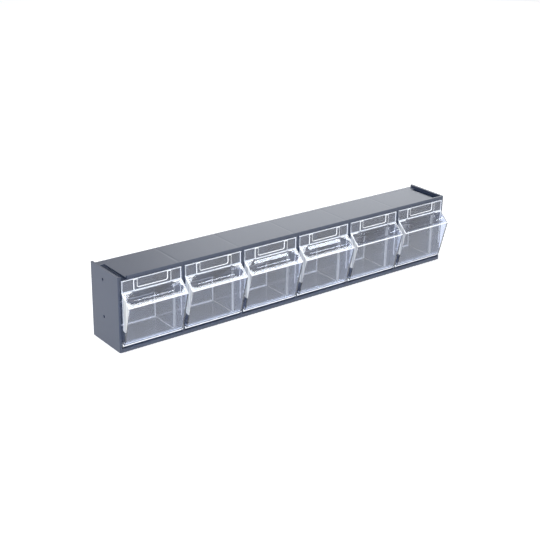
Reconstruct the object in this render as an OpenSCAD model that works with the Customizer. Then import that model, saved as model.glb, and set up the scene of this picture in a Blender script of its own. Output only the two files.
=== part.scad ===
// Tip-out bin unit: a moulded housing holding six clear bins that tip forward on side pins.
// X runs along the length, the front faces -Y and Z is up.
// The origin is the centre of the face that the housing stands on.
// Side profiles are drawn as [depth behind the housing's front edge, height].

/* [Housing] */
// Overall length of the housing
housing_w = 600; // [540:1:680]
// Depth of the housing, front edge to back face
housing_d = 72; // [68:0.5:84]
// Height of the housing, base to stacking rim
housing_h = 111; // [106:0.5:124]
// Thickness of the two end walls
end_t = 3.2; // [2.8:0.1:5]
// Thickness of the walls between the bins
divider_t = 3; // [2.8:0.1:4]
// Thickness of the back wall
back_t = 2; // [1.5:0.1:3]
// Thickness of the top plate
plate_t = 2; // [1.5:0.1:3]
// Thickness of the floor plate
floor_t = 2; // [1.5:0.1:3]
// Thickness of the rail under the bin fronts
rail_t = 2.2; // [1.5:0.1:2.6]
// Height of the rail's face above the plinth
rail_h = 5; // [4.4:0.1:5.4]
// Radius of the upright outer corners
corner_r = 0.8; // [0.5:0.1:2]

/* [Stacking] */
// Depth of the shallow tray in the top
tray_depth = 3.3; // [2.5:0.1:4]
// Thickness of the lip along the front of the tray
lip_t = 2.5; // [1.5:0.1:3.5]
// Height of the plinth that sits in the tray of the unit below
plinth_h = 1.8; // [1.4:0.1:2.2]
// Thickness of the plinth's wall
plinth_t = 2.2; // [1.5:0.1:3]
// Clearance between the plinth and the tray that it sits in
nest_gap = 0.3; // [0.2:0.05:0.6]
// Height of the floor's upper face above the plinth
floor_rise = 2.7; // [2.2:0.1:3]
// Width of the slot beside each end wall
slot_w = 9; // [5:0.5:10]
// Distance of the slot from the end wall
slot_side = 2; // [1.5:0.1:5]
// Distance of the right slot's near end behind the front edge
slot_near = 4.5; // [4:0.1:8]
// Distance of both slots' far end behind the front edge
slot_far = 59; // [40:0.5:62]

/* [Screw holes] */
// Diameter of the holes in the left end wall, which a screw passes through
side_hole_d = 4.2; // [3.6:0.1:6]
// Diameter of the holes in the right end wall, which take the screw's thread
side_pilot_d = 3.4; // [2.6:0.1:3.5]
// Distance of these holes behind the front edge
side_hole_y = 40; // [20:0.5:55]
// Height of the lower hole
side_hole_z = 41; // [30:0.5:48]
// Distance of the upper hole below the stacking rim
side_hole_drop = 15.5; // [10:0.5:30]
// Diameter of the two wall screw holes in the back
back_hole_d = 5; // [3:0.1:8]
// Height of the wall screw holes
back_hole_z = 80; // [60:0.5:95]

/* [Bin] */
// Wall thickness of a bin
bin_t = 1.8; // [1.5:0.1:2.2]
// Clearance between a bin and the wall beside it
side_gap = 1.6; // [1:0.1:2]
// Clearance behind a bin
back_gap = 2; // [1.5:0.1:4]
// Clearance between a bin and the floor it settles on
rest_gap = 0.3; // [0.3:0.05:0.6]
// Clearance between a bin and the top plate
top_gap = 0.4; // [0.3:0.05:1]
// How far the finger pull stands out in front of the housing
pull_out = 19; // [16:0.5:24]
// Height of the sloping ledge, from the pull's tip to the label strip
ledge_drop = 15.4; // [13:0.1:18]
// Height of the label strip above the ledge
strip_h = 17.9; // [14:0.1:20]
// Thickness of the label strip
strip_t = 2; // [1.8:0.1:2.2]
// Height of the back wall of a bin above the housing's base
bin_back_h = 43; // [35:0.5:55]
// Level length of the side walls' top edge at the back
side_level = 8; // [5:0.5:14]
// Radius of the upright back corners of a bin
bin_corner_r = 4.5; // [3:0.1:6]
// Radius of the corner between the floor and the back wall
floor_corner_r = 3; // [2.4:0.1:5]

/* [Finger dish] */
// Depth of the dish in the ledge
dish_depth = 4.5; // [3:0.1:4.8]
// Radius of the dish's hollow across the ledge
dish_r = 18.25; // [17:0.05:20]
// Distance of the dish's centre down the slope from the strip
dish_down = 11.5; // [10.5:0.1:12.5]
// Width of the flat rim between the dish and the tip
rim_w = 5.7; // [4:0.1:7]
// Length over which each end of the dish rounds off
dish_end_l = 14.5; // [8:0.5:20]
// Width of ledge left beyond each end of the dish
dish_end_gap = 2; // [1.2:0.1:4]
// How pointed the dish's ends are, from round to straight-sided
dish_point_share = 1.7; // [1:0.1:2]

/* [Label frame] */
// Outer width of the raised frame
frame_w = 58.4; // [48:0.2:64]
// Width of the frame's band
frame_band = 6; // [3:0.1:8]
// Height of the frame's lower band
frame_foot = 5.6; // [3:0.1:8]
// Height of the frame above the strip's face
frame_rise = 0.9; // [0.5:0.1:1.5]
// Distance of the frame's top below the strip's top
frame_drop = 0.6; // [0.4:0.1:2]
// Radius of the frame's lower outer corners
frame_r = 4; // [2:0.1:6]
// Radius of the lower corners of the frame's window
window_r = 2.5; // [1:0.1:4]

/* [Pivot] */
// Distance of the pivot behind the front edge
pivot_y = 6.5; // [6:0.1:7.5]
// Height of the pivot above the base
pivot_z = 12; // [11.6:0.1:12.6]
// Diameter of the pivot pins
pin_d = 4; // [3:0.1:5]
// Radial clearance of a pin in its hole
pin_clearance = 0.05; // [0.03:0.01:0.08]
// Length of a pin inside the wall
pin_engage = 1.3; // [1:0.05:1.35]
// Angle that a bin tips forward
tip_angle = 45; // [35:1:46]
// Clearance between a bin's rounded heel and the rail
heel_gap = 0.4; // [0.3:0.05:0.8]
// Clearance over the rail when a bin is tipped
swing_gap = 0.7; // [0.5:0.05:1.2]
// Clearance between the foot under the front panel and the rail when a bin is tipped
stop_gap = 0.6; // [0.6:0.05:1.2]
// Thickness of the foot under the front panel
foot_t = 2; // [1.6:0.1:2.4]
// Height of the foot
foot_h = 0.8; // [0.5:0.05:1]

/* [Hidden] */
NODES = ["housing", "bin_1", "bin_2", "bin_3", "bin_4", "bin_5", "bin_6"];
bin_count = len(NODES) - 1;
// Bins that a wall screw hole stands behind
screwed_bins = [2, 5];
$fn = 64;
// How far a cut runs past the face that it opens
overrun = 5;

// Housing, worked out from the sizes above
pitch = (housing_w - 2 * end_t + divider_t) / bin_count;
cell_w = pitch - divider_t;
front_y = -housing_d / 2;
cell_back = housing_d - back_t;
plate_top = housing_h - tray_depth;
plate_low = plate_top - plate_t;
floor_top = plinth_h + floor_rise;
floor_low = floor_top - floor_t;
rail_top = plinth_h + rail_h;
plinth_side = end_t + nest_gap;
plinth_front = lip_t + nest_gap;
// Blind holes for the outermost pins end inside the end walls
pin_hole_depth = pin_engage + nest_gap;

// Bin, worked out from the sizes above
bin_w = cell_w - 2 * side_gap;
bin_back = cell_back - back_gap;
bin_floor = floor_top + rest_gap;
bin_top = plate_low - top_gap;
pivot = [pivot_y, pivot_z];
heel_r = norm(pivot - [rail_t, rail_top]) - heel_gap;
// The rail's upper front corner, as a bin tipped right forward would see it
stop_corner = pivot + turned([0, rail_top] - pivot, -tip_angle);
sill_low = stop_corner.y + swing_gap;
foot_low = sill_low - foot_h;
foot_back = stop_corner.x - stop_gap;
foot_front = foot_back - foot_t;
heel_start = pivot_y - sqrt(heel_r * heel_r - (sill_low - pivot_z) * (sill_low - pivot_z));
heel_end = pivot_y + heel_r;

// Corners of the front, from the foot up to the label strip
foot = [foot_front, foot_low];
ledge_top = [-strip_t, bin_top - strip_h];
tip = [-pull_out, ledge_top.y - ledge_drop];
panel_run = unit(tip - foot);
ledge_run = unit(tip - ledge_top);
ledge_l = norm(tip - ledge_top);
// Directions square to the panel and to the ledge, pointing into the bin
panel_in = [panel_run.y, -panel_run.x];
ledge_in = [-ledge_run.y, ledge_run.x];
panel_inner = foot + bin_t * panel_in;
ledge_inner = ledge_top + bin_t * ledge_in;
inner_tip = crossing(panel_inner, panel_run, ledge_inner, ledge_run);
inner_sill = sill_low + bin_t;
inner_foot = crossing(panel_inner, panel_run, [0, inner_sill], [1, 0]);
inner_ledge_top = crossing(ledge_inner, ledge_run, [0, 0], [0, 1]);
inner_heel_r = heel_r - bin_t;
inner_floor = bin_floor + bin_t;
inner_heel_start = pivot_y - sqrt(inner_heel_r * inner_heel_r - (inner_sill - pivot_z) * (inner_sill - pivot_z));
side_top = [0, ledge_top.y];

// Dish: the barrel that hollows the ledge lies along X, above the slope
dish_height = dish_r - dish_depth;
dish_half = sqrt(dish_r * dish_r - dish_height * dish_height);
dish_axis = ledge_top + dish_down * ledge_run - dish_height * ledge_in;
dish_flat = bin_w / 2 - dish_end_gap - dish_end_l;
rim_start = ledge_l - rim_w;
ledge_slope = atan2(-ledge_run.y, -ledge_run.x);
// Steps in which the ends of the dish round off, and the angle where they stop
dish_steps = 7;
dish_last = 84;

function unit(v) = v / norm(v);
function turned(v, a) = [v.x * cos(a) - v.y * sin(a), v.x * sin(a) + v.y * cos(a)];
function cross2(a, b) = a.x * b.y - a.y * b.x;
// Where the line through p along d meets the line through q along e
function crossing(p, d, q, e) = p + d * cross2(q - p, e) / cross2(d, e);
function bin_x(i) = (i - (bin_count + 1) / 2) * pitch;
// Radius of the dish's barrel where its end has turned by angle a
function barrel_r(a) = norm([dish_height, dish_half * pow(cos(a), dish_point_share)]);
// How far along its end the dish's barrel has come at angle a, as a share
function end_share(a) = pow(sin(a), dish_point_share);

// A box given by its least and greatest corners
module block(low, high) {
    translate(low)
        cube(high - low);
}

// Stretches a side profile [depth, height] along X, centred
module along_x(width) {
    rotate([90, 0, 90])
        linear_extrude(height = width, center = true)
            children();
}

// A round bar along X through a point of the side profile
module cross_bar(at, x, length, d) {
    translate([x, at.x, at.y])
        rotate([0, 90, 0])
            cylinder(d = d, h = length, center = true);
}

// Rectangle with four rounded corners, from its least corner
module rounded_rect(width, depth, r) {
    translate([r, 0])
        square([width - 2 * r, depth]);
    translate([0, r])
        square([width, depth - 2 * r]);
    for (x = [r, width - r], y = [r, depth - r])
        translate([x, y])
            circle(r = r);
}

// Outer block of the housing on its plinth
module housing_block() {
    translate([-housing_w / 2, 0, plinth_h])
        linear_extrude(height = housing_h - plinth_h)
            rounded_rect(housing_w, housing_d, corner_r);
    block([-housing_w / 2 + plinth_side, plinth_front, 0],
          [housing_w / 2 - plinth_side, housing_d, plinth_h + floor_rise / 2]);
}

// The space that one bin swings in, open at the front above the rail
module cell_space() {
    block([-cell_w / 2, rail_t, floor_top], [cell_w / 2, cell_back, plate_low]);
    block([-cell_w / 2, -overrun, rail_top], [cell_w / 2, rail_t + overrun, plate_low]);
}

// Hollow under the floor between two ribs, kept off the plinth's wall at the ends
module underside_pocket(i) {
    inner_end = housing_w / 2 - plinth_side - plinth_t;
    low_x = max(bin_x(i) - cell_w / 2, -inner_end);
    high_x = min(bin_x(i) + cell_w / 2, inner_end);
    block([low_x, plinth_front + plinth_t, -overrun], [high_x, cell_back, floor_low]);
}

// Shallow tray in the top, open at the back
module tray_space() {
    block([-housing_w / 2 + end_t, lip_t, plate_top],
          [housing_w / 2 - end_t, housing_d + overrun, housing_h + overrun]);
}

// Slots through the top plate: closed at the right end, open through the lip at the left end
module top_slots() {
    slot_x = housing_w / 2 - end_t - slot_side;
    block([slot_x - slot_w, slot_near, plate_low - overrun],
          [slot_x, slot_far, plate_top + overrun]);
    block([-slot_x, -overrun, plate_low - overrun],
          [slot_w - slot_x, slot_far, housing_h + overrun]);
}

// Screw holes through both end walls: clear holes at the left, pilot holes at the right
module side_holes() {
    wall_x = (housing_w - end_t) / 2;
    for (z = [side_hole_z, housing_h - side_hole_drop]) {
        cross_bar([side_hole_y, z], -wall_x, end_t + 2 * overrun, side_hole_d);
        cross_bar([side_hole_y, z], wall_x, end_t + 2 * overrun, side_pilot_d);
    }
}

// Wall screw holes through the back
module back_holes() {
    for (i = screwed_bins)
        translate([bin_x(i), cell_back + back_t / 2, back_hole_z])
            rotate([90, 0, 0])
                cylinder(d = back_hole_d, h = back_t + 2 * overrun, center = true);
}

// Holes for the pivot pins: one long bore through the dividers, blind in the end walls
module pin_holes() {
    cross_bar(pivot, 0, housing_w - 2 * (end_t - pin_hole_depth), pin_d + 2 * pin_clearance);
}

module housing() {
    color("#5f656e")
        translate([0, front_y, 0])
            difference() {
                housing_block();
                for (i = [1 : bin_count]) {
                    translate([bin_x(i), 0, 0])
                        cell_space();
                    underside_pocket(i);
                }
                tray_space();
                top_slots();
                side_holes();
                back_holes();
                pin_holes();
            }
}

// Side outline of a bin: foot, sloping panel, ledge, label strip, falling sides, back, floor, heel
module bin_outline() {
    polygon([
        foot, tip, ledge_top, [-strip_t, bin_top], [0, bin_top], side_top,
        [bin_back - side_level, bin_back_h], [bin_back, bin_back_h],
        [bin_back, bin_floor + floor_corner_r], [bin_back - floor_corner_r, bin_floor],
        [heel_end, bin_floor], [pivot_y, pivot_z - heel_r], pivot,
        [heel_start, sill_low], [foot_back, sill_low], [foot_back, foot_low]
    ]);
    translate(pivot)
        circle(r = heel_r);
    translate([bin_back - floor_corner_r, bin_floor + floor_corner_r])
        circle(r = floor_corner_r);
}

// Side outline of the space inside a bin, open at the top
module bin_inner_outline() {
    inner_back = bin_back - bin_t;
    inner_corner_r = floor_corner_r - bin_t;
    polygon([
        inner_foot, inner_tip, inner_ledge_top, [0, bin_top + overrun],
        [inner_back, bin_top + overrun],
        [inner_back, inner_floor + inner_corner_r], [inner_back - inner_corner_r, inner_floor],
        [heel_end, inner_floor], [pivot_y, pivot_z - inner_heel_r], pivot,
        [inner_heel_start, inner_sill]
    ]);
    translate(pivot)
        circle(r = inner_heel_r);
    translate([inner_back - inner_corner_r, inner_floor + inner_corner_r])
        circle(r = inner_corner_r);
}

// Upright prism seen from above, with rounded back corners
module plan_prism(width, back, r) {
    translate([0, 0, -overrun])
        linear_extrude(height = bin_top + 3 * overrun) {
            translate([-width / 2, -pull_out - overrun])
                square([width, back + pull_out + overrun - r]);
            translate([-width / 2 + r, 0])
                square([width - 2 * r, back]);
            for (x = [-width / 2 + r, width / 2 - r])
                translate([x, back - r])
                    circle(r = r);
        }
}

// Barrel along X whose ends draw in; grow makes it larger all round by a wall thickness
module dish_barrel(grow) {
    ends = [for (k = [0 : dish_steps]) k * dish_last / dish_steps];
    right = [for (a = ends) [barrel_r(a) + grow, dish_flat + (dish_end_l + grow) * end_share(a)]];
    left = [for (k = [dish_steps : -1 : 0]) [right[k].x, -right[k].y]];
    translate([0, dish_axis.x, dish_axis.y])
        rotate([0, 90, 0])
            rotate_extrude($fn = 96)
                polygon(concat([[0, left[0].y], [0, right[dish_steps].y]],
                               [for (k = [dish_steps : -1 : 0]) right[k]],
                               [for (k = [dish_steps : -1 : 0]) left[k]]));
}

// The part of the barrel between the label strip and the rim
module dish(grow) {
    size = 2 * (dish_r + pull_out);
    intersection() {
        dish_barrel(grow);
        translate([0, ledge_top.x, ledge_top.y])
            rotate([ledge_slope, 0, 0])
                translate([-bin_w / 2, -rim_start - grow, -size / 2])
                    cube([bin_w, size + rim_start, size]);
        block([-bin_w / 2, -size, 0], [bin_w / 2, -strip_t + grow, bin_top + size]);
    }
}

// Upright rectangle on its foot, with two rounded lower corners
module cup_shape(width, height, r) {
    translate([-width / 2, r])
        square([width, height - r]);
    translate([r - width / 2, 0])
        square([width - 2 * r, height]);
    for (s = [-1, 1])
        translate([s * (width / 2 - r), r])
            circle(r = r);
}

// Raised frame on the label strip, open at the top
module label_frame() {
    frame_h = bin_top - frame_drop - ledge_top.y;
    translate([0, -strip_t / 2, ledge_top.y])
        rotate([90, 0, 0])
            linear_extrude(height = strip_t / 2 + frame_rise)
                difference() {
                    cup_shape(frame_w, frame_h, frame_r);
                    translate([0, frame_foot])
                        cup_shape(frame_w - 2 * frame_band, frame_h, window_r);
                }
}

// Pivot pin standing out of each side wall
module pivot_pins() {
    reach = side_gap + pin_engage;
    for (s = [-1, 1])
        cross_bar(pivot, s * (bin_w - bin_t + reach) / 2, reach + bin_t, pin_d);
}

// Outer form of a bin, before it is hollowed
module bin_solid() {
    intersection() {
        along_x(bin_w)
            bin_outline();
        plan_prism(bin_w, bin_back, bin_corner_r);
    }
}

// The space inside a bin, with the underside of the dish standing into it
module bin_hollow() {
    inner_w = bin_w - 2 * bin_t;
    difference() {
        intersection() {
            along_x(inner_w)
                bin_inner_outline();
            plan_prism(inner_w, bin_back - bin_t, bin_corner_r - bin_t);
        }
        dish(bin_t);
    }
}

module bin(i) {
    color("#c9d2dc", 0.5)
        translate([bin_x(i), front_y, 0]) {
            difference() {
                bin_solid();
                bin_hollow();
                dish(0);
            }
            label_frame();
            pivot_pins();
        }
}

housing();
bin(1);  // bin_1
bin(2);  // bin_2
bin(3);  // bin_3
bin(4);  // bin_4
bin(5);  // bin_5
bin(6);  // bin_6
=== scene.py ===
# %% [markdown]
# A tip-out bin unit: a grey moulded housing with six clear bins, each turning on two pins.
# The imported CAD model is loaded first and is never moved, so that every new piece can be placed by the same numbers.
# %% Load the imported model
import math
import bpy
from mathutils import Matrix, Vector


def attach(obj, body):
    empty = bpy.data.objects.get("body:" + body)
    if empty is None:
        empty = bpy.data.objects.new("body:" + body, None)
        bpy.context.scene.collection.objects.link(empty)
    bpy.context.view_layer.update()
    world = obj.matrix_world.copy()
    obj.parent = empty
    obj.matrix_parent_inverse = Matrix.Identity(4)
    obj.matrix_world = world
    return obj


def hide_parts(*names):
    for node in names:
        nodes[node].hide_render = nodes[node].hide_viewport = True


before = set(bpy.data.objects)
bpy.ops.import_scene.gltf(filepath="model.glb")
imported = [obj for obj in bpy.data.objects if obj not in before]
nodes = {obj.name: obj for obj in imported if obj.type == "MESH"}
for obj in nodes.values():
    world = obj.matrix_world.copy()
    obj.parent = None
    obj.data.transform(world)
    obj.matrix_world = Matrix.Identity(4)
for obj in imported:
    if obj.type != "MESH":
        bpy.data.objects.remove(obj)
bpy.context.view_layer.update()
print("nodes:", ", ".join(sorted(nodes)))

# %% [markdown]
# Sizes are kept in millimetres, as on a drawing, and one function turns them into Blender's metres. Side profiles are
# written as [depth behind the housing's front edge, height]. The front edge lies half the housing's depth in front of the
# origin.
# %% Units and main sizes
def mm(value):
    return value / 1000.0


HOUSING_W = 600.0
HOUSING_D = 72.0
HOUSING_H = 111.0
FRONT = -HOUSING_D / 2
END_T = 3.2
DIVIDER_T = 3.0
BACK_T = 2.0
BINS = 6
PITCH = (HOUSING_W - 2 * END_T + DIVIDER_T) / BINS
CELL_W = PITCH - DIVIDER_T
bin_names = ["bin_%d" % i for i in range(1, BINS + 1)]


def bin_x(i):
    """Middle of bin i along the length, in millimetres."""
    return (i - (BINS + 1) / 2) * PITCH


print("pitch of the bins: %.2f mm" % PITCH)

# %% [markdown]
# The camera comes early, so that every later choice can be judged through it. The photograph was taken from the left front,
# a little above the unit, with a long lens, and the frame is turned by about one degree.
# %% Camera and view
camera_data = bpy.data.cameras.new("camera")
camera = bpy.data.objects.new("camera", camera_data)
bpy.context.scene.collection.objects.link(camera)
bpy.context.scene.camera = camera
bpy.context.scene.view_settings.view_transform = "Standard"
camera_data.sensor_width = 36.0
camera_data.lens = 73.83
camera_data.clip_start = 0.05
camera_data.clip_end = 60.0
turn = Matrix.Rotation(math.radians(-37.79), 4, "Z")
tilt = Matrix.Rotation(math.radians(90 - 22.36), 4, "X")
roll = Matrix.Rotation(math.radians(1.2), 4, "Z")
camera.matrix_world = Matrix.Translation((-0.9557, -1.2049, 0.6722)) @ turn @ tilt @ roll
print("camera %.2f m from the unit" % camera.location.length)

# %% [markdown]
# Colours are written as they look on a screen, in hex, and a shader works on linear light, so one function turns the first
# into the second. A second one adds a node with its settings and links.
# %% Colour and node helpers
def linear(hex_colour):
    """Linear RGBA of an sRGB colour such as '#8090a0'."""
    def one(c):
        c = c / 255.0
        return c / 12.92 if c <= 0.04045 else ((c + 0.055) / 1.055) ** 2.4
    return tuple(one(int(hex_colour[k:k + 2], 16)) for k in (1, 3, 5)) + (1.0,)


def add_node(tree, kind, settings=None, links=None):
    """Adds a node, sets its properties and inputs, and links outputs of other nodes into it."""
    node = tree.nodes.new(kind)
    for name, value in (settings or {}).items():
        if isinstance(name, int) or name in node.inputs:
            node.inputs[name].default_value = value
        else:
            setattr(node, name, value)
    for name, source in (links or {}).items():
        tree.links.new(source, node.inputs[name])
    return node


def new_material(name):
    """An empty node material, with its output node."""
    material = bpy.data.materials.new(name)
    material.use_nodes = True
    material.node_tree.nodes.clear()
    output = material.node_tree.nodes.new("ShaderNodeOutputMaterial")
    return material, material.node_tree, output


# %% [markdown]
# The housing is high-impact polystyrene, moulded in a tool with a fine spark-eroded grain. It is a dark blue-grey with a
# satin surface.
# %% Housing plastic
housing_plastic, tree, output = new_material("grey_high_impact_polystyrene")
place = add_node(tree, "ShaderNodeTexCoord").outputs["Object"]
tone = add_node(tree, "ShaderNodeTexNoise", {"Scale": 9.0, "Detail": 3.0}, {"Vector": place})
colour = add_node(tree, "ShaderNodeMix", {"data_type": "RGBA", "blend_type": "MIX"}, {0: tone.outputs["Fac"]})
colour.inputs[6].default_value = linear("#262f43")
colour.inputs[7].default_value = linear("#2b354a")
grain = add_node(tree, "ShaderNodeTexNoise", {"Scale": 1400.0, "Detail": 2.0}, {"Vector": place})
bump = add_node(tree, "ShaderNodeBump", {"Strength": 0.1, "Distance": 0.0001}, {"Height": grain.outputs["Fac"]})
along = add_node(tree, "ShaderNodeSeparateXYZ", {}, {"Vector": place})
to_rib = add_node(tree, "ShaderNodeMath", {"operation": "PINGPONG", 1: mm(PITCH / 2)}, {0: along.outputs["X"]})
sink = add_node(tree, "ShaderNodeMapRange", {"interpolation_type": "SMOOTHSTEP", "From Max": mm(3.0)},
                {"Value": to_rib.outputs[0]})
bump = add_node(tree, "ShaderNodeBump", {"Strength": 1.0, "Distance": 0.00012},
                {"Height": sink.outputs[0], "Normal": bump.outputs[0]})
satin = add_node(tree, "ShaderNodeMapRange", {"To Min": 0.34, "To Max": 0.44}, {"Value": grain.outputs["Fac"]})
shader = add_node(tree, "ShaderNodeBsdfPrincipled", {"IOR": 1.59},
                  {"Base Color": colour.outputs[2], "Roughness": satin.outputs[0], "Normal": bump.outputs[0]})
tree.links.new(shader.outputs[0], output.inputs["Surface"])

# %% [markdown]
# The bins are general-purpose polystyrene, the clear and brittle kind, from a polished mould. It bends light strongly, its
# flow leaves faint waves, and a little haze is always left in it. A path tracer treats a wall that bends light as opaque to
# the rays that look for a lamp, so the inside of a clear bin would turn black. Light Path's Is Shadow Ray mends that: such
# a ray meets a see-through shader instead, which takes away a small share of the light.
# %% Light through clear plastic
def let_light_through(tree, output, shader, share):
    """Lets this share of a lamp's light pass on to what lies behind the clear wall."""
    path = add_node(tree, "ShaderNodeLightPath")
    gap = add_node(tree, "ShaderNodeBsdfTransparent", {"Color": (share, share, share, 1.0)})
    both = add_node(tree, "ShaderNodeMixShader", {},
                    {0: path.outputs["Is Shadow Ray"], 1: shader.outputs[0], 2: gap.outputs[0]})
    tree.links.new(both.outputs[0], output.inputs["Surface"])


# %% Clear plastic
clear_plastic, tree, output = new_material("clear_general_purpose_polystyrene")
place = add_node(tree, "ShaderNodeTexCoord").outputs["Object"]
flow = add_node(tree, "ShaderNodeTexNoise", {"Scale": 60.0, "Detail": 1.0}, {"Vector": place})
bump = add_node(tree, "ShaderNodeBump", {"Strength": 0.03, "Distance": 0.0002}, {"Height": flow.outputs["Fac"]})
polish = add_node(tree, "ShaderNodeMapRange", {"To Min": 0.03, "To Max": 0.08}, {"Value": flow.outputs["Fac"]})
shader = add_node(tree, "ShaderNodeBsdfPrincipled",
                  {"IOR": 1.59, "Transmission Weight": 0.98, "Base Color": linear("#e8edfa")},
                  {"Roughness": polish.outputs[0], "Normal": bump.outputs[0]})
let_light_through(tree, output, shader, 0.95)

# %% [markdown]
# The edges of a clear moulding gather the light that runs inside its walls, so they look white. Here a painted
# highlight
# stands in for it: a white that scatters most of the light, far less work than tracing it. It is the second material of
# a bin.
# %% Painted highlight on the edges
painted_highlight_plastic, tree, output = new_material("polystyrene_edge_painted_highlight")
place = add_node(tree, "ShaderNodeTexCoord").outputs["Object"]
streak = add_node(tree, "ShaderNodeTexNoise", {"Scale": 180.0, "Detail": 2.0}, {"Vector": place})
satin = add_node(tree, "ShaderNodeMapRange", {"To Min": 0.15, "To Max": 0.35}, {"Value": streak.outputs["Fac"]})
# Painted highlight: the near-white base colour stands in for the light that the edges gather.
shader = add_node(tree, "ShaderNodeBsdfPrincipled",
                  {"IOR": 1.59, "Transmission Weight": 0.12, "Base Color": linear("#f7f9fd")},
                  {"Roughness": satin.outputs[0]})
let_light_through(tree, output, shader, 0.8)

# %% [markdown]
# The third material is painted light in fine upright streaks, a white that stands in for the light on the parts of the
# side walls that catch it. The streaks are about 2 mm apart and drawn long along the height by a Mapping node.
# %% Painted light in streaks on the side walls
painted_light_streaks, tree, output = new_material("polystyrene_side_painted_light_streaks")
place = add_node(tree, "ShaderNodeTexCoord").outputs["Object"]
drawn = add_node(tree, "ShaderNodeMapping", {"Scale": (420.0, 420.0, 12.0)}, {"Vector": place})
streak = add_node(tree, "ShaderNodeTexNoise", {"Scale": 1.0, "Detail": 1.0}, {"Vector": drawn.outputs[0]})
sharp = add_node(tree, "ShaderNodeMapRange", {"From Min": 0.38, "From Max": 0.62}, {"Value": streak.outputs["Fac"]})
# Painted light: the streaks mix a light grey with white, standing in for light on the sides that face it.
colour = add_node(tree, "ShaderNodeMix", {"data_type": "RGBA", "blend_type": "MIX"}, {0: sharp.outputs[0]})
colour.inputs[6].default_value = linear("#c2c4c8")
colour.inputs[7].default_value = linear("#ffffff")
shader = add_node(tree, "ShaderNodeBsdfPrincipled", {"IOR": 1.59, "Transmission Weight": 0.45, "Roughness": 0.08},
                  {"Base Color": colour.outputs[2]})
let_light_through(tree, output, shader, 0.95)
BIN_CLEAR_AND_PAINTED_LIGHT = (clear_plastic, painted_highlight_plastic, painted_light_streaks)

# %% [markdown]
# The pieces are drawn as a mould maker would draw them: a side outline set down point by point, filled and pulled out along
# the length. Three small helpers do the steps that every piece shares, so that the cells below read like the work itself.
# %% Helpers for edit mode
def deselect():
    """Leaves nothing selected, because an operator acts on all that is."""
    bpy.ops.object.select_all(action="DESELECT")


def pick(obj):
    """Selects one object and makes it the active one."""
    deselect()
    obj.select_set(True)
    bpy.context.view_layer.objects.active = obj
    return obj


def at(x, depth, height):
    """A place in metres from millimetres along the length, behind the front edge and above the base."""
    return Vector((mm(x), mm(FRONT + depth), mm(height)))


def settle(obj, name):
    """Names a finished piece and puts its place into its mesh, so that the object itself sits at the origin."""
    pick(obj)
    bpy.ops.object.transform_apply(location=True, rotation=True, scale=True)
    obj.name = name
    obj.data.name = name
    return obj


# %% [markdown]
# An outline can be typed in as a mesh, or drawn as by hand. Here one vertex is extruded from corner to corner, the ring is
# filled, and the face is extruded, which gives a solid with its faces pointing outwards.
# %% Draw an outline and pull it out
def start_line(place):
    """A plane shrunk to one vertex, which the extrude operator then draws with."""
    deselect()
    bpy.ops.mesh.primitive_plane_add(size=mm(1.0), location=place)
    bpy.ops.object.mode_set(mode="EDIT")
    bpy.ops.mesh.select_mode(type="VERT")
    bpy.ops.mesh.select_all(action="SELECT")
    bpy.ops.mesh.merge(type="CENTER")


def draw_line(corners):
    """Extrudes the selected vertex from corner to corner."""
    for here, there in zip(corners, corners[1:]):
        bpy.ops.mesh.extrude_region_move(TRANSFORM_OT_translate={"value": there - here})


def pull_out(name, corners, run):
    """A solid: the closed outline through these corners, filled and extruded along run."""
    start_line(corners[0])
    draw_line(corners + [corners[0]])
    bpy.ops.mesh.select_all(action="SELECT")
    bpy.ops.mesh.remove_doubles(threshold=mm(0.005))
    bpy.ops.mesh.edge_face_add()
    bpy.ops.mesh.extrude_region_move(TRANSFORM_OT_translate={"value": run})
    bpy.ops.mesh.select_all(action="SELECT")
    bpy.ops.mesh.normals_make_consistent(inside=False)
    bpy.ops.object.mode_set(mode="OBJECT")
    return settle(bpy.context.object, name)


# %% [markdown]
# Cuts and joins are Booleans, as a mould maker's cutter and inserts are. The rest of the helpers soften edges and give
# faces
# their material slots: 0 is polished, 1 is a painted white highlight and 2 is painted light in upright streaks.
# %% Blocks, round bars and cuts
def block(name, low, high):
    """A block from its least to its greatest corner, in millimetres."""
    deselect()
    middle = (at(*low) + at(*high)) / 2
    size = at(*high) - at(*low)
    bpy.ops.mesh.primitive_cube_add(size=1.0, location=middle, scale=size)
    return settle(bpy.context.object, name)


def cross_bar(name, place, length, diameter, sides=48):
    """A round bar along the length of the unit, in millimetres."""
    deselect()
    bpy.ops.mesh.primitive_cylinder_add(vertices=sides, radius=mm(diameter / 2), depth=mm(length), location=at(*place),
                                        rotation=(0.0, math.radians(90), 0.0))
    return settle(bpy.context.object, name)


def combine(obj, tool, how):
    """Applies one Boolean of a tool to an object, and removes the tool."""
    pick(obj)
    step = obj.modifiers.new(how.lower(), "BOOLEAN")
    step.operation = how
    step.solver = "EXACT"
    step.object = tool
    bpy.ops.object.modifier_apply(modifier=step.name)
    bpy.data.objects.remove(tool, do_unlink=True)
    return obj


def dress(obj, *materials):
    """Gives an object these materials, in this order of slots; its faces keep their slot numbers."""
    slots = [face.material_index for face in obj.data.polygons]
    obj.data.materials.clear()
    for material in materials:
        obj.data.materials.append(material)
    obj.data.polygons.foreach_set("material_index", [min(slot, len(materials) - 1) for slot in slots])
    return obj


def soften(obj, width, segments=2, sharpness=30.0, slot=-1):
    """Bevels every sharp edge, as a mould's edges are never quite sharp; the new faces get this material slot."""
    pick(obj)
    bpy.ops.object.mode_set(mode="EDIT")
    bpy.ops.mesh.select_mode(type="EDGE")
    bpy.ops.mesh.select_all(action="DESELECT")
    bpy.ops.mesh.edges_select_sharp(sharpness=math.radians(sharpness))
    bpy.ops.mesh.bevel(offset=mm(width), segments=segments, profile=0.5, clamp_overlap=True, material=slot)
    bpy.ops.object.mode_set(mode="OBJECT")
    return obj


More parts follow.
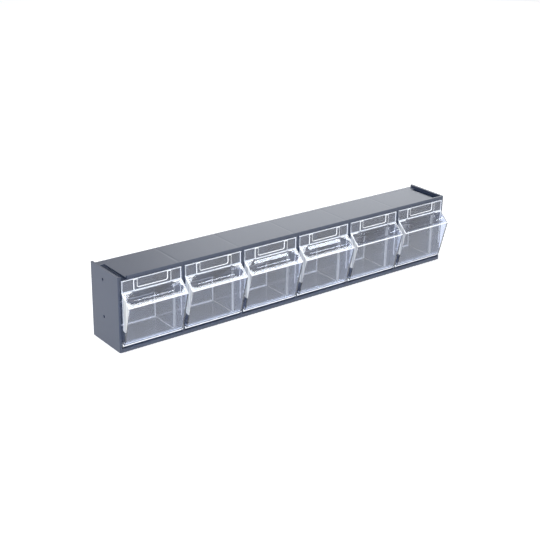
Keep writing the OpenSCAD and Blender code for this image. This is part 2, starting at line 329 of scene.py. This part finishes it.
def bevel_edges(obj, test, width, segments, slot=-1):
    """Bevels the edges whose two ends pass a test; the new faces get this material slot."""
    pick(obj)
    bpy.ops.object.mode_set(mode="EDIT")
    bpy.ops.mesh.select_mode(type="EDGE")
    bpy.ops.mesh.select_all(action="DESELECT")
    bpy.ops.object.mode_set(mode="OBJECT")
    for edge in obj.data.edges:
        edge.select = test(*[obj.data.vertices[k].co for k in edge.vertices])
    bpy.ops.object.mode_set(mode="EDIT")
    bpy.ops.mesh.bevel(offset=mm(width), segments=segments, profile=0.5, clamp_overlap=True, material=slot)
    bpy.ops.object.mode_set(mode="OBJECT")
    return obj


def split_at(obj, place, normal):
    """Cuts an edge line across the faces where this plane meets them, and takes nothing away."""
    pick(obj)
    bpy.ops.object.mode_set(mode="EDIT")
    bpy.ops.mesh.select_all(action="SELECT")
    bpy.ops.mesh.bisect(plane_co=place, plane_no=normal)
    bpy.ops.object.mode_set(mode="OBJECT")
    return obj


def paint_faces(obj, test, slot):
    """Gives this material slot to the faces that pass a test."""
    for face in obj.data.polygons:
        if test(face):
            face.material_index = slot
    return obj


def border_faces(obj, test, width):
    """Insets each face that passes a test, and gives the border the second material slot, the painted highlight on a
    bin.
    """
    pick(obj)
    bpy.ops.object.mode_set(mode="EDIT")
    bpy.ops.mesh.select_mode(type="FACE")
    bpy.ops.mesh.select_all(action="DESELECT")
    bpy.ops.object.mode_set(mode="OBJECT")
    for face in obj.data.polygons:
        face.select = test(face)
        face.material_index = max(face.material_index, int(face.select))
    bpy.ops.object.mode_set(mode="EDIT")
    bpy.ops.mesh.inset(thickness=mm(width), depth=0.0, use_individual=True, use_even_offset=True)
    obj.active_material_index = 0
    bpy.ops.object.material_slot_assign()
    bpy.ops.object.mode_set(mode="OBJECT")
    return obj


def arc(centre, r, start, end, steps):
    """Points of a circular arc in a side profile; angles in degrees from the depth axis."""
    angles = [math.radians(start + (end - start) * k / steps) for k in range(steps + 1)]
    return [(centre[0] + r * math.cos(a), centre[1] + r * math.sin(a)) for a in angles]


# %% [markdown]
# A bin's side outline is worked out once, with the same rules as the CAD model: the front panel leans out from the foot to
# the tip, the ledge falls from the label strip to the tip, and the heel is round about the pivot so that it clears the rail.
# %% Sizes of a bin
BIN_T = 1.8
SIDE_GAP = 1.6
STRIP_T = 2.0
BIN_W = CELL_W - 2 * SIDE_GAP
BIN_BACK = HOUSING_D - BACK_T - 2.0
BIN_FLOOR = 4.8
BIN_TOP = 105.3
RAIL_T = 2.2
RAIL_TOP = 6.8
PIVOT = Vector((6.5, 12.0))
heel_r = (PIVOT - Vector((RAIL_T, RAIL_TOP))).length - 0.4
quarter = math.radians(-45.0)
lever = Vector((0.0, RAIL_TOP)) - PIVOT
stop_corner = PIVOT + Vector((lever.x * math.cos(quarter) - lever.y * math.sin(quarter),
                              lever.x * math.sin(quarter) + lever.y * math.cos(quarter)))
sill_low = stop_corner.y + 0.7
foot_back = stop_corner.x - 0.6
foot = Vector((foot_back - 2.0, sill_low - 0.8))
ledge_top = Vector((-STRIP_T, BIN_TOP - 17.9))
tip = Vector((-19.0, ledge_top.y - 15.4))
panel_run = (tip - foot).normalized()
ledge_run = (tip - ledge_top).normalized()
panel_in = Vector((panel_run.y, -panel_run.x))
ledge_in = Vector((-ledge_run.y, ledge_run.x))
print("heel radius %.2f mm, foot at %.2f, %.2f mm" % (heel_r, foot.x, foot.y))


def crossing(p, d, q, e):
    """Where the line through p along d meets the line through q along e."""
    return p + d * ((q - p).x * e.y - (q - p).y * e.x) / (d.x * e.y - d.y * e.x)


# %% Side outlines of a bin, outside and inside
FLOOR_CORNER_R = 3.0
heel_start = math.degrees(math.acos(-math.sqrt(heel_r ** 2 - (sill_low - PIVOT.y) ** 2) / heel_r))
outer_line = [tuple(foot), tuple(tip), tuple(ledge_top), (-STRIP_T, BIN_TOP), (0.0, BIN_TOP), (0.0, ledge_top.y),
              (BIN_BACK - 8.0, 43.0), (BIN_BACK, 43.0)]
outer_line += arc((BIN_BACK - FLOOR_CORNER_R, BIN_FLOOR + FLOOR_CORNER_R), FLOOR_CORNER_R, 0, -90, 6)
outer_line += [(PIVOT.x + heel_r, BIN_FLOOR)]
outer_line += arc(PIVOT, heel_r, 270, heel_start, 14)
outer_line += [(foot_back, sill_low), (foot_back, foot.y)]

inner_heel_r = heel_r - BIN_T
inner_sill = sill_low + BIN_T
inner_back = BIN_BACK - BIN_T
inner_floor = BIN_FLOOR + BIN_T
inner_corner_r = FLOOR_CORNER_R - BIN_T
panel_inner = foot + BIN_T * panel_in
ledge_inner = ledge_top + BIN_T * ledge_in
inner_start = math.degrees(math.acos(-math.sqrt(inner_heel_r ** 2 - (inner_sill - PIVOT.y) ** 2) / inner_heel_r))
inner_line = [tuple(crossing(panel_inner, panel_run, Vector((0.0, inner_sill)), Vector((1.0, 0.0)))),
              tuple(crossing(panel_inner, panel_run, ledge_inner, ledge_run)),
              tuple(crossing(ledge_inner, ledge_run, Vector((0.0, 0.0)), Vector((0.0, 1.0)))),
              (0.0, BIN_TOP + 5.0), (inner_back, BIN_TOP + 5.0)]
inner_line += arc((inner_back - inner_corner_r, inner_floor + inner_corner_r), inner_corner_r, 0, -90, 4)
inner_line += [(PIVOT.x + heel_r, inner_floor)]
inner_line += arc(PIVOT, inner_heel_r, 270, inner_start, 10)
print("outline points: %d outside, %d inside" % (len(outer_line), len(inner_line)))

# %% [markdown]
# The bin's body is a solid bar of that outline. A block with two rounded upright edges is laid over it, and what both share
# stays, which gives the body its round back corners. Its sharp edges are softened before anything is cut from it.
# %% Body of a bin
def side_bar(name, line, width):
    """A bar of this side outline, centred on the middle of a bin."""
    return pull_out(name, [at(-width / 2, d, h) for d, h in line], Vector((mm(width), 0.0, 0.0)))


HAIR = 0.01


def plan_block(name, width, back, r, slot):
    """An upright block whose two back corners are round; a hair wider, so that it shares no face with what it trims."""
    half = width / 2 + HAIR
    made = dress(block(name, (-half, -30.0, -5.0), (half, back, BIN_TOP + 12.0)), *BIN_CLEAR_AND_PAINTED_LIGHT)
    back_y = mm(FRONT + back) - 1e-5
    bevel_edges(made, lambda a, b: a.y > back_y and b.y > back_y and abs(a.x - b.x) < 1e-6, r, 8)
    return paint_faces(made, lambda face: 0.55 < abs(face.normal.x) < 0.83, slot)


bin_body = dress(side_bar("bin_body", outer_line, BIN_W), *BIN_CLEAR_AND_PAINTED_LIGHT)
WING_BACK = -4.0
WING_LOW = 34.0
# The softened edges and the borders round the broad faces get slot 1, a painted white highlight.
soften(bin_body, 0.35, slot=1)
border_faces(bin_body, lambda face: face.area > 3e-4 and max(-face.normal.y, -face.normal.z, abs(face.normal.x)) < 0.9, 1.0)
split_at(bin_body, at(0.0, WING_BACK, 0.0), (0.0, 1.0, 0.0))
split_at(bin_body, at(0.0, 0.0, WING_LOW), (0.0, 0.0, 1.0))
split_at(bin_body, at(0.0, 0.0, foot.y + 1.3), (0.0, 0.0, 1.0))


def is_lit_left_wing(face):
    """True for the left side of the part that stands out in front of the housing, down to where it gets narrow; the
    light falls on this side, and it gets painted light.
    """
    return face.normal.x < -0.1 and face.center.y < mm(FRONT + WING_BACK) and mm(WING_LOW) < face.center.z < mm(BIN_TOP - 20.0)


def is_dull_edge(face):
    """True for the upright edges beside the label strip and the panel and for those under the foot, which stay clear."""
    above = face.center.z > mm(ledge_top.y)
    if face.center.z < mm(foot.y + 1.5) and face.center.y > mm(FRONT + foot.x + 0.4):
        return True
    return 0.1 < abs(face.normal.x) < 0.99 and (above or face.center.z < mm(tip.y - 1.0))


paint_faces(bin_body, is_dull_edge, 0)
# The left sides of the wings, where the light falls, get painted light in streaks.
paint_faces(bin_body, is_lit_left_wing, 2)
# A painted highlight line goes along the front under the foot.
paint_faces(bin_body, lambda face: face.normal.y < -0.9 and face.center.z < mm(foot.y + 1.3), 1)
combine(bin_body, plan_block("corner_tool", BIN_W, BIN_BACK, 4.5, 0), "INTERSECT")
print("body of a bin: %d faces" % len(bin_body.data.polygons))

# %% [markdown]
# The finger dish is a barrel that lies along the ledge, so its hollow is round across the ledge and draws in at both ends.
# Half its outline is drawn once and spun about its own axis, and two bisecting planes trim it: one at the rim and one at the
# label strip. A larger barrel gives the underside, so that the wall keeps its thickness.
# %% Finger dish
DISH_DEPTH = 4.5
DISH_R = 18.25
dish_height = DISH_R - DISH_DEPTH
dish_half = math.sqrt(DISH_R ** 2 - dish_height ** 2)
dish_axis = ledge_top + 11.5 * ledge_run - dish_height * ledge_in
DISH_END_L = 14.5
DISH_POINT = 1.7
dish_flat = BIN_W / 2 - 2.0 - DISH_END_L
rim_start = (tip - ledge_top).length - 5.7


def cut_off(co, normal):
    """Bisects the mesh being edited and closes the cut, and drops what lies on the side that the normal points to."""
    bpy.ops.mesh.select_all(action="SELECT")
    bpy.ops.mesh.bisect(plane_co=co, plane_no=normal, use_fill=True, clear_outer=True)


def dish_tool(name, grow):
    """The barrel of the dish, larger all round by a wall's thickness where it is to shape the underside."""
    rounding = [math.radians(84.0 * k / 7) for k in range(8)]
    half = [(dish_flat + (DISH_END_L + grow) * math.sin(a) ** DISH_POINT,
             math.hypot(dish_height, dish_half * math.cos(a) ** DISH_POINT) + grow) for a in rounding]
    half.append((half[-1][0], 0.0))
    line = [(-x, r) for x, r in reversed(half)] + half
    centre = at(0.0, dish_axis.x, dish_axis.y)
    corners = [centre + Vector((mm(x), 0.0, -mm(r))) for x, r in line]
    start_line(corners[0])
    draw_line(corners)
    bpy.ops.mesh.select_all(action="SELECT")
    bpy.ops.mesh.spin(steps=96, angle=math.radians(360), center=centre, axis=(1.0, 0.0, 0.0))
    bpy.ops.mesh.select_all(action="SELECT")
    bpy.ops.mesh.remove_doubles(threshold=mm(0.005))
    bpy.ops.mesh.normals_make_consistent(inside=False)
    rim = ledge_top + (rim_start + grow) * ledge_run
    cut_off(at(0.0, rim.x, rim.y), Vector((0.0, ledge_run.x, ledge_run.y)))
    cut_off(at(0.0, grow - STRIP_T, 0.0), Vector((0.0, 1.0, 0.0)))
    bpy.ops.mesh.select_all(action="SELECT")
    bpy.ops.mesh.normals_make_consistent(inside=False)
    bpy.ops.object.mode_set(mode="OBJECT")
    return settle(bpy.context.object, name)


# %% [markdown]
# The hollow is a second bar of the inner outline. The material slots of its faces pass on to the bin's inner walls when
# it is cut out, so its painted highlight lines and its band of painted light are set before the cut.
# %% Hollow of a bin
hollow = dress(side_bar("bin_hollow", inner_line, BIN_W - 2 * BIN_T), *BIN_CLEAR_AND_PAINTED_LIGHT)
# Borders of painted highlight go round the broad inner faces.
border_faces(hollow, lambda face: face.area > 6e-4 and max(-face.normal.y, abs(face.normal.x)) < 0.9, 0.8)
for depth in (-2.4, -1.2, 13.0, 19.0):
    split_at(hollow, at(0.0, depth, 0.0), (0.0, 1.0, 0.0))
split_at(hollow, at(0.0, 0.0, WING_LOW), (0.0, 0.0, 1.0))


def is_painted_light_band(face):
    """True for the upright band on a side wall, a little behind the front, which gets painted light."""
    return abs(face.normal.x) > 0.99 and 13.0 < face.center.y * 1000 - FRONT < 19.0


def is_painted_highlight_line(face):
    """True for the thin upright line on a side wall where it leaves the housing, which gets a painted highlight."""
    return abs(face.normal.x) > 0.99 and abs(face.center.y - mm(FRONT - 1.8)) < mm(0.5) and face.center.z > mm(WING_LOW)


# The hollow's faces that face back and down get the painted highlight.
paint_faces(hollow, lambda face: face.normal.y > 0.1 and face.normal.z < -0.1, 1)
# An upright band of painted light goes on the inner side walls.
paint_faces(hollow, is_painted_light_band, 2)
# A thin upright line of painted highlight goes where the side wall leaves the housing.
paint_faces(hollow, is_painted_highlight_line, 1)
# The middle faces of the hollow's round back corners get slot 1, a painted highlight.
combine(hollow, plan_block("inner_corner_tool", BIN_W - 2 * BIN_T, inner_back, 2.7, 1), "INTERSECT")
combine(hollow, dish_tool("dish_underside", BIN_T), "DIFFERENCE")
combine(bin_body, hollow, "DIFFERENCE")
combine(bin_body, dish_tool("dish_hollow", 0.0), "DIFFERENCE")
print("hollowed bin: %d faces" % len(bin_body.data.polygons))

# %% [markdown]
# The label strip carries a raised frame in the shape of a U, with round lower corners outside and inside. A card is pushed
# down into it from above.
# %% Label frame
FRAME_W = 58.4
FRAME_BAND = 6.0
FRAME_FOOT = 5.6
frame_high = BIN_TOP - 0.6 - ledge_top.y
window_half = FRAME_W / 2 - FRAME_BAND


def frame_line():
    """Outline of the frame as [along the length, height above the ledge's upper edge]."""
    half = FRAME_W / 2
    line = [(-half, frame_high)] + arc((4.0 - half, 4.0), 4.0, 180, 270, 6)
    line += arc((half - 4.0, 4.0), 4.0, 270, 360, 6) + [(half, frame_high), (window_half, frame_high)]
    line += arc((window_half - 2.5, FRAME_FOOT + 2.5), 2.5, 0, -90, 5)
    line += arc((2.5 - window_half, FRAME_FOOT + 2.5), 2.5, 270, 180, 5) + [(-window_half, frame_high)]
    return line


corners = [at(x, -STRIP_T / 2, ledge_top.y + h) for x, h in frame_line()]
label_frame = pull_out("label_frame", corners, Vector((0.0, mm(-STRIP_T / 2 - 0.9), 0.0)))
dress(label_frame, *BIN_CLEAR_AND_PAINTED_LIGHT)
# The frame's front gets a border of painted highlight, and all its other faces are painted highlight.
border_faces(label_frame, lambda face: face.normal.y < -0.99, 0.8)
paint_faces(label_frame, lambda face: face.normal.y > -0.99, 1)
front_face = mm(FRONT - STRIP_T - 0.9) + 1e-6
bevel_edges(label_frame, lambda a, b: a.y < front_face and b.y < front_face, 0.3, 2)
combine(bin_body, label_frame, "UNION")

# %% [markdown]
# Two short pins stand out of the side walls near the lower front corner. They turn in holes in the walls between the bins,
# and their ends are chamfered so that they find the holes.
# %% Pivot pins
PIN_D = 4.0
reach = SIDE_GAP + 1.3
for side in (-1, 1):
    middle = side * (BIN_W - BIN_T + reach) / 2
    pin = cross_bar("pin", (middle, PIVOT.x, PIVOT.y), reach + BIN_T, PIN_D)
    end = mm(BIN_W / 2 + reach) - 1e-6
    bevel_edges(pin, lambda a, b: abs(a.x) > end and abs(b.x) > end, 0.4, 1)
    combine(bin_body, pin, "UNION")
print("bin with frame and pins: %d faces" % len(bin_body.data.polygons))

# %% [markdown]
# The finished bin is shaded smooth wherever two faces meet at a small angle. The six bins are copies of it, each with its own
# mesh, moved along the length inside the mesh, and each rides on its own body and stands for its CAD node.
# %% Six bins
def finish_shape(obj):
    """Merges doubles, and smooths the shading without bending it on the flat faces."""
    pick(obj)
    bpy.ops.object.mode_set(mode="EDIT")
    bpy.ops.mesh.select_all(action="SELECT")
    bpy.ops.mesh.remove_doubles(threshold=mm(0.002))
    bpy.ops.mesh.delete_loose()
    bpy.ops.mesh.select_all(action="SELECT")
    bpy.ops.mesh.normals_make_consistent(inside=False)
    bpy.ops.object.mode_set(mode="OBJECT")
    bpy.ops.object.shade_smooth_by_angle(angle=math.radians(38))
    weighted = obj.modifiers.new("weighted", "WEIGHTED_NORMAL")
    weighted.keep_sharp = True
    bpy.ops.object.modifier_apply(modifier=weighted.name)
    return obj


def open_edges(obj):
    """How many edges don't have exactly two faces, which is none on a closed solid."""
    uses = {}
    for face in obj.data.polygons:
        for key in face.edge_keys:
            uses[key] = uses.get(key, 0) + 1
    return sum(1 for n in uses.values() if n != 2)


finish_shape(bin_body)
print("open edges of the bin:", open_edges(bin_body))
clear_bins = []
for i, name in enumerate(bin_names, start=1):
    copy = bpy.data.objects.new("clear_" + name, bin_body.data.copy())
    bpy.context.scene.collection.objects.link(copy)
    copy.data.transform(Matrix.Translation((mm(bin_x(i)), 0.0, 0.0)))
    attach(copy, name)
    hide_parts(name)
    clear_bins.append(copy)
bpy.data.objects.remove(bin_body, do_unlink=True)
print("bins:", ", ".join(obj.name for obj in clear_bins))

# %% [markdown]
# The housing is one moulding. It starts as a block on a lower plinth, and everything else is cut out of it, as the steel of
# a mould would leave it: six cells, pockets under the floor, the stacking tray, two slots and the holes.
# %% Housing block
PLINTH_H = 1.8
FLOOR_TOP = 4.5
FLOOR_LOW = 2.5
TRAY_DEPTH = 3.3
LIP_T = 2.5
PLATE_TOP = HOUSING_H - TRAY_DEPTH
PLATE_LOW = PLATE_TOP - 2.0
half_w = HOUSING_W / 2
moulding = block("housing_moulding", (-half_w, 0.0, PLINTH_H), (half_w, HOUSING_D, HOUSING_H))
bevel_edges(moulding, lambda a, b: abs(a.z - b.z) > 0.01, 0.8, 4)
plinth = block("plinth", (3.5 - half_w, 2.8, 0.0), (half_w - 3.5, HOUSING_D - 0.01, PLINTH_H + 1.35))
combine(moulding, plinth, "UNION")

# %% [markdown]
# Each cell is a bar of one side outline, so that the rail stays in front of it and the floor below it. The pockets take the
# needless plastic from under the floor, and the tray takes the plinth of a like unit.
# %% Cells, pockets and tray
cell_line = [(-5.0, RAIL_TOP), (RAIL_T, RAIL_TOP), (RAIL_T, FLOOR_TOP), (HOUSING_D - BACK_T, FLOOR_TOP),
             (HOUSING_D - BACK_T, PLATE_LOW), (-5.0, PLATE_LOW)]
for i in range(1, BINS + 1):
    cell = side_bar("cell", cell_line, CELL_W)
    cell.data.transform(Matrix.Translation((mm(bin_x(i)), 0.0, 0.0)))
    combine(moulding, cell, "DIFFERENCE")
    low_x = max(bin_x(i) - CELL_W / 2, 5.7 - half_w)
    high_x = min(bin_x(i) + CELL_W / 2, half_w - 5.7)
    combine(moulding, block("pocket", (low_x, 5.0, -5.0), (high_x, HOUSING_D - BACK_T, FLOOR_LOW)), "DIFFERENCE")
tray = block("tray", (END_T - half_w, LIP_T, PLATE_TOP), (half_w - END_T, HOUSING_D + 5.0, HOUSING_H + 5.0))
combine(moulding, tray, "DIFFERENCE")

# %% Slots and holes
slot_x = half_w - END_T - 2.0
combine(moulding, block("right_slot", (slot_x - 9.0, 4.5, PLATE_LOW - 5.0), (slot_x, 59.0, PLATE_TOP + 5.0)), "DIFFERENCE")
combine(moulding, block("left_slot", (-slot_x, -5.0, PLATE_LOW - 5.0), (9.0 - slot_x, 59.0, HOUSING_H + 5.0)), "DIFFERENCE")
for height in (41.0, HOUSING_H - 15.5):
    combine(moulding, cross_bar("clear_hole", (-half_w, 40.0, height), 20.0, 4.2), "DIFFERENCE")
    combine(moulding, cross_bar("pilot_hole", (half_w, 40.0, height), 20.0, 3.4), "DIFFERENCE")
for i in (2, 5):
    deselect()
    bpy.ops.mesh.primitive_cylinder_add(vertices=48, radius=mm(2.5), depth=mm(20.0), location=at(bin_x(i), HOUSING_D, 80.0),
                                        rotation=(math.radians(90), 0.0, 0.0))
    combine(moulding, settle(bpy.context.object, "wall_screw_hole"), "DIFFERENCE")
combine(moulding, cross_bar("pin_bore", (0.0, PIVOT.x, PIVOT.y), HOUSING_W - 3.2, PIN_D + 0.1), "DIFFERENCE")

# %% Edges of the housing
cell_back = mm(FRONT + HOUSING_D - BACK_T)
bevel_edges(moulding, lambda a, b: max(abs(a.y - cell_back), abs(b.y - cell_back)) < 1e-5 and abs(a.z - b.z) > 0.02, 1.2, 4)
soften(moulding, 0.3)
finish_shape(moulding)
print("housing: %d faces, open edges %d" % (len(moulding.data.polygons), open_edges(moulding)))
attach(moulding, "housing")
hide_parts("housing")

# %% [markdown]
# The imported nodes get the housing plastic and the clear plastic of the pieces that stand for them, for whoever uses
# the CAD solids.
# %% Dress the pieces and the CAD nodes
dress(moulding, housing_plastic)
dress(nodes["housing"], housing_plastic)
for name in bin_names:
    dress(nodes[name], clear_plastic)
# The sum counts faces of painted highlight once and faces of painted light in streaks twice.
print("faces of a bin with the edge finish:", sum(face.material_index for face in clear_bins[0].data.polygons))


# %% Floor and surround
def rays_that_see(tree):
    """1 for camera, mirror and glass rays, and 0 for the rays that light the object."""
    path = add_node(tree, "ShaderNodeLightPath")
    first = add_node(tree, "ShaderNodeMath", {"operation": "MAXIMUM"},
                     {0: path.outputs["Is Camera Ray"], 1: path.outputs["Is Glossy Ray"]})
    return add_node(tree, "ShaderNodeMath", {"operation": "MAXIMUM"},
                    {0: first.outputs[0], 1: path.outputs["Is Transmission Ray"]}).outputs[0]


world = bpy.data.worlds.new("white_surround")
bpy.context.scene.world = world
world.use_nodes = True
tree = world.node_tree
tree.nodes.clear()
seen = rays_that_see(tree)
level = add_node(tree, "ShaderNodeMapRange", {"To Min": 0.4, "To Max": 1.0}, {"Value": seen})
sky = add_node(tree, "ShaderNodeBackground", {"Color": (1.0, 1.0, 1.0, 1.0)}, {"Strength": level.outputs[0]})
world_output = add_node(tree, "ShaderNodeOutputWorld", {}, {"Surface": sky.outputs[0]})

deselect()
bpy.ops.mesh.primitive_plane_add(size=12.0, location=(0.0, 0.0, 0.0))
floor = bpy.context.object
floor.name = "floor"
floor_paper, tree, output = new_material("white_paper_floor")
paper = add_node(tree, "ShaderNodeBsdfDiffuse", {"Color": linear("#f4f4f4")})
seen = rays_that_see(tree)
fill = add_node(tree, "ShaderNodeMapRange", {"To Min": 0.0, "To Max": 0.48}, {"Value": seen})
glow = add_node(tree, "ShaderNodeEmission", {}, {"Strength": fill.outputs[0]})
both = add_node(tree, "ShaderNodeAddShader", {}, {0: paper.outputs[0], 1: glow.outputs[0]})
tree.links.new(both.outputs[0], output.inputs["Surface"])
floor_paper.cycles.emission_sampling = "NONE"
dress(floor, floor_paper)


# %% [markdown]
# Five soft lamps stand in for a studio: one lights the left end, one behind shows as the gradient on the top plate, a strip
# above and a card at the right show in the ledges, and a weak fill in front reaches into the cells. Radiance is how bright a
# lamp's face is, where the surround is 1.
# %% Lamps
def softbox(name, place_mm, aim_mm, width_mm, height_mm, radiance, roll=0.0):
    """A soft rectangular lamp; radiance is how bright its face looks in a mirror, where the surround is 1."""
    data = bpy.data.lights.new(name, "AREA")
    data.shape = "RECTANGLE"
    data.size = mm(width_mm)
    data.size_y = mm(height_mm)
    data.energy = radiance * math.pi * data.size * data.size_y
    data.color = (0.92, 0.96, 1.0)
    lamp = bpy.data.objects.new(name, data)
    bpy.context.scene.collection.objects.link(lamp)
    here = Vector(place_mm) / 1000.0
    there = Vector(aim_mm) / 1000.0
    turn = (there - here).to_track_quat("-Z", "Y").to_matrix().to_4x4()
    lamp.matrix_world = Matrix.Translation(here) @ turn @ Matrix.Rotation(math.radians(roll), 4, "Z")
    return lamp


softbox("left_softbox", (-1500, -500, 900), (0, 0, 50), 1000, 1000, 8.0)
fill_lamp = softbox("front_softbox", (-500, -1900, 900), (0, 0, 50), 800, 600, 7.0)
fill_lamp.visible_glossy = False
softbox("back_softbox", (2050, 2050, 860), (100, 0, 60), 1700, 900, 2.85)
strip = softbox("ledge_strip", (520, -408, 1000), (520, -408, 0), 740, 120, 8.5)
card = softbox("dish_card", (1285, -1713, 560), (0, -36, 60), 410, 1000, 9.0, roll=-9.5)
